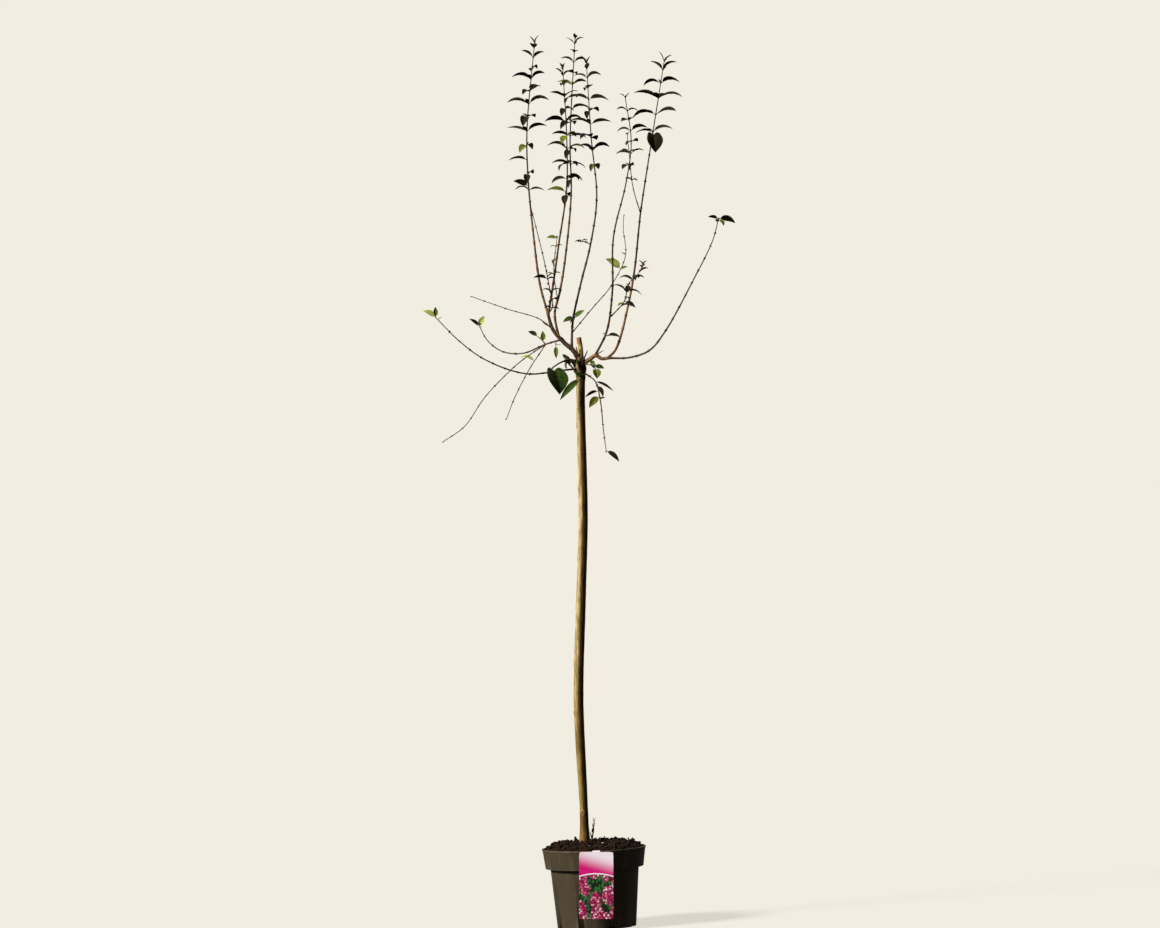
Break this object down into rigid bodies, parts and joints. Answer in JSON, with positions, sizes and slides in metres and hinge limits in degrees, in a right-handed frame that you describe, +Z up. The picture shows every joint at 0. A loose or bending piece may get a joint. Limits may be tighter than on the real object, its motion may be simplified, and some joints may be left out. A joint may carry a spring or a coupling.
{
  "type": "standard littleleaf lilac in a nursery pot",
  "caption": "Small flowering shrub grown as a standard: a sparse autumn crown of upright and arching shoots on a clear stem, standing in a round plastic nursery pot with a hanging label.",
  "frame": {"origin": "centre of the pot's flat underside", "axes": "+Z up along the pot's axis, the label and the viewer on the -Y side, +X to the viewer's right"},
  "size_m": [0.5694, 0.2362, 1.6347],
  "materials": {
    "stem_bark": "smooth olive to brown bark with corky spots",
    "twig_bark": "satin dark brown twig bark",
    "foliage": "soft green leaves, some lime and some near black",
    "pot_plastic": "dull dark taupe moulded plastic",
    "potting_soil": "crumbly moist peat",
    "label_card": "printed glossy plastic card"
  },
  "bodies": {
    "root": {"stem": "stem_bark", "left_bough": "twig_bark", "right_bough": "twig_bark", "upright_1": "twig_bark", "upright_2": "twig_bark", "upright_3": "twig_bark", "upright_4": "twig_bark", "upright_5": "twig_bark", "upright_6": "twig_bark", "right_arch_lower": "twig_bark", "right_arch_upper": "twig_bark", "left_arch_lower": "twig_bark", "left_arch_upper": "twig_bark", "long_left_arch_lower": "twig_bark", "long_left_arch_upper": "twig_bark", "left_wand": "twig_bark", "hanging_twig_outer": "twig_bark", "basal_shoot": "twig_bark", "upright_1_leaves": "foliage", "upright_2_leaves": "foliage", "upright_3_leaves": "foliage", "upright_4_leaves": "foliage", "upright_5_leaves": "foliage", "upright_6_leaves": "foliage", "right_arch_leaves": "foliage", "left_arch_leaves": "foliage", "long_left_arch_leaves": "foliage", "hanging_twig_inner": "foliage", "arch_node_leaves": "foliage", "hanging_leaf": "foliage", "inner_shoot_left": "foliage", "inner_shoot_right": "foliage", "side_shoot_right": "foliage", "slender_twig": "foliage", "rear_twig": "foliage", "spur_on_upright_4": "foliage", "low_leaves_on_upright_4": "foliage", "low_leaves_on_upright_5": "foliage", "heart_leaf_twig": "foliage", "leaves_under_union": "foliage", "leaves_right_of_union": "foliage", "drooping_shoot": "foliage", "pot": "pot_plastic", "soil": "potting_soil", "plant_label": "label_card"}
  },
  "joints": []
}
